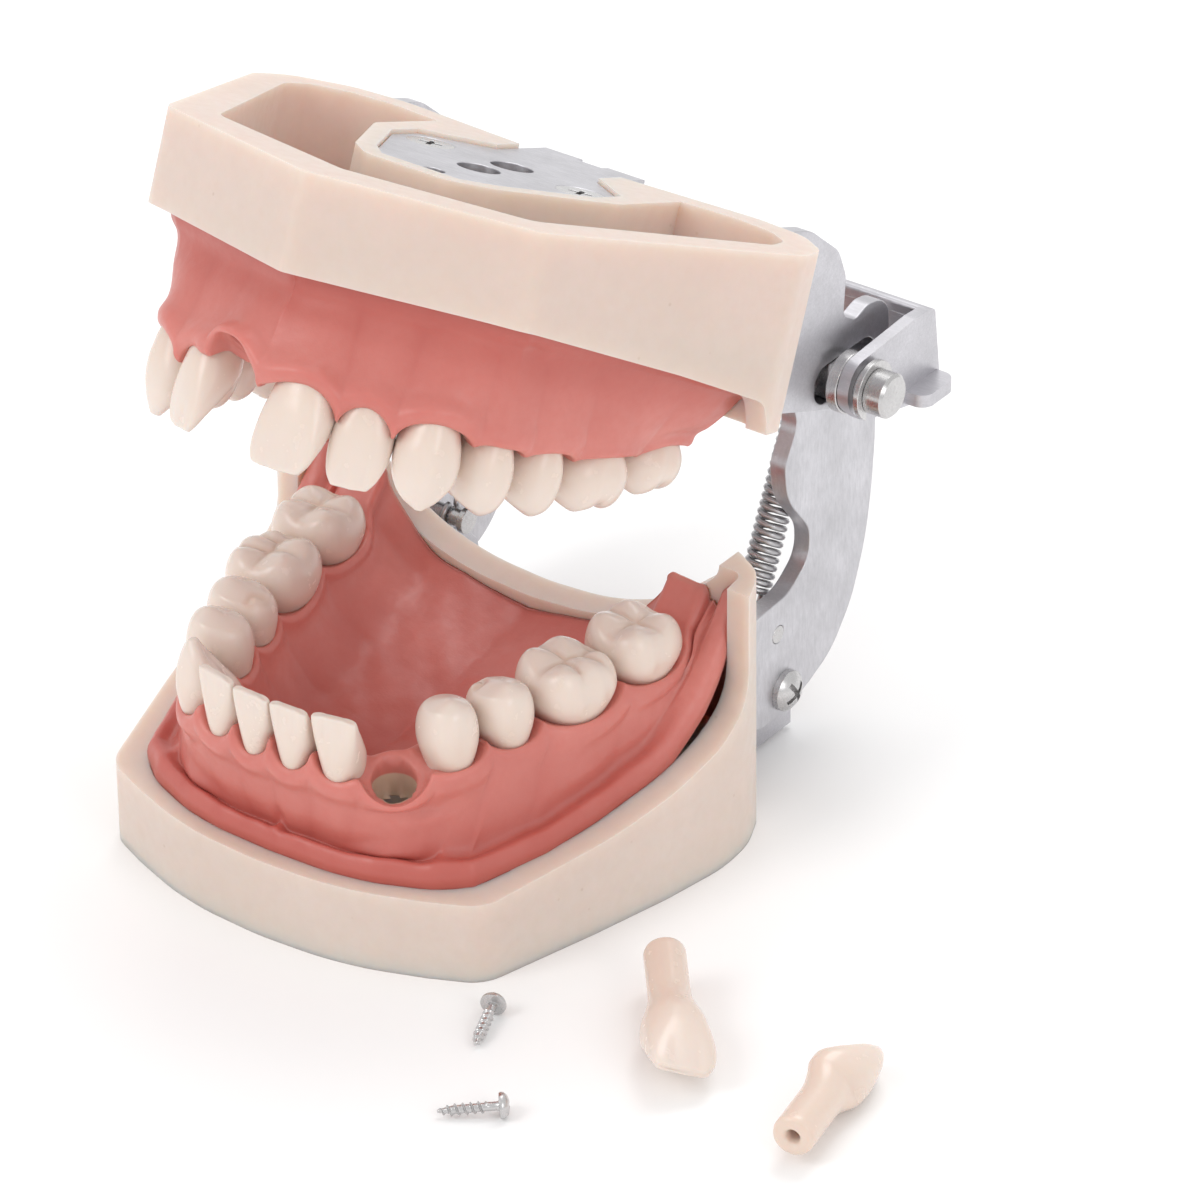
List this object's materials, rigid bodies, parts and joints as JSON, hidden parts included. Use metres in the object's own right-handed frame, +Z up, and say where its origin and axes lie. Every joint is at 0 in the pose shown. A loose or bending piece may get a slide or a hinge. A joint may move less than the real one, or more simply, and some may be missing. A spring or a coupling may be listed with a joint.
{
  "type": "typodont dental model",
  "caption": "Hinged dental training model: upper and lower resin jaws with soft gums, screw-fixed teeth, a steel plate hinge with return springs, and pieces lying loose in front.",
  "frame": {"origin": "on the lower base's rest face, on the mid plane, under the middle of the lower arch", "axes": "+Z up, +X to the model's left side, -Y to the front teeth, hinge at +Y"},
  "size_m": [0.1147, 0.1048, 0.0919],
  "materials": {
    "base_resin": "cast resin, semi-matte",
    "gum_silicone": "soft satin silicone",
    "tooth_resin": "polished, slightly translucent",
    "satin_steel": "satin plate with edge wear",
    "pin_steel": "turned bar",
    "spring_steel": "drawn wire",
    "screw_steel": "bright plated"
  },
  "bodies": {
    "lower_jaw": {"arm_screws": "screw_steel", "left_arm": "satin_steel", "left_spring": "spring_steel", "lower_base": "base_resin", "lower_frame_plate": "satin_steel", "lower_frame_screws": "screw_steel", "lower_gingiva": "gum_silicone", "lower_left_central_incisor": "tooth_resin", "lower_left_first_molar": "tooth_resin", "lower_left_first_premolar": "tooth_resin", "lower_left_lateral_incisor": "tooth_resin", "lower_left_second_molar": "tooth_resin", "lower_left_second_premolar": "tooth_resin", "lower_right_canine": "tooth_resin", "lower_right_central_incisor": "tooth_resin", "lower_right_first_molar": "tooth_resin", "lower_right_first_premolar": "tooth_resin", "lower_right_lateral_incisor": "tooth_resin", "lower_right_second_molar": "tooth_resin", "lower_right_second_premolar": "tooth_resin", "lower_tooth_screws": "screw_steel", "right_arm": "satin_steel", "right_spring": "spring_steel", "spring_posts": "pin_steel"},
    "pin_set": {"hinge_pin": "pin_steel", "pin_washers": "screw_steel", "pin_clips": "screw_steel", "spring_cranks": "pin_steel"},
    "upper_jaw": {"upper_base": "base_resin", "upper_gingiva": "gum_silicone", "upper_left_canine": "tooth_resin", "upper_left_central_incisor": "tooth_resin", "upper_left_first_molar": "tooth_resin", "upper_left_first_premolar": "tooth_resin", "upper_left_lateral_incisor": "tooth_resin", "upper_left_second_molar": "tooth_resin", "upper_left_second_premolar": "tooth_resin", "upper_plate": "satin_steel", "upper_plate_screws": "screw_steel", "upper_right_canine": "tooth_resin", "upper_right_first_molar": "tooth_resin", "upper_right_first_premolar": "tooth_resin", "upper_right_lateral_incisor": "tooth_resin", "upper_right_second_molar": "tooth_resin", "upper_right_second_premolar": "tooth_resin", "upper_tooth_screws": "screw_steel"},
    "latch": {"latch_bracket": "satin_steel"},
    "loose_incisor": {"upper_right_central_incisor": "tooth_resin"},
    "loose_canine": {"lower_left_canine": "tooth_resin"},
    "screw_front": {"loose_screw_front": "screw_steel"},
    "screw_rear": {"loose_screw_rear": "screw_steel"}
  },
  "joints": [
    {"name": "jaw_hinge", "type": "hinge", "parent": "lower_jaw", "child": "pin_set", "pos_m": [0, 0.0446, 0.0476], "axis": [-1, 0, 0], "range_deg": [-24.5, 12], "deforming": ["left_spring", "right_spring"]},
    {"name": "slot_slide", "type": "slide", "parent": "pin_set", "child": "upper_jaw", "axis": [0, 1, 0], "range_m": [0, 0.001]},
    {"name": "latch_swing", "type": "hinge", "parent": "lower_jaw", "child": "latch", "pos_m": [0, 0.0446, 0.0476], "axis": [1, 0, 0], "range_deg": [0, 40]},
    {"name": "loose_incisor_lift", "type": "slide", "parent": "lower_jaw", "child": "loose_incisor", "axis": [0, 0, 1], "range_m": [0, 0.05]},
    {"name": "loose_canine_lift", "type": "slide", "parent": "lower_jaw", "child": "loose_canine", "axis": [0, 0, 1], "range_m": [0, 0.05]},
    {"name": "screw_front_lift", "type": "slide", "parent": "lower_jaw", "child": "screw_front", "axis": [0, 0, 1], "range_m": [0, 0.05]},
    {"name": "screw_rear_lift", "type": "slide", "parent": "lower_jaw", "child": "screw_rear", "axis": [0, 0, 1], "range_m": [0, 0.05]}
  ]
}
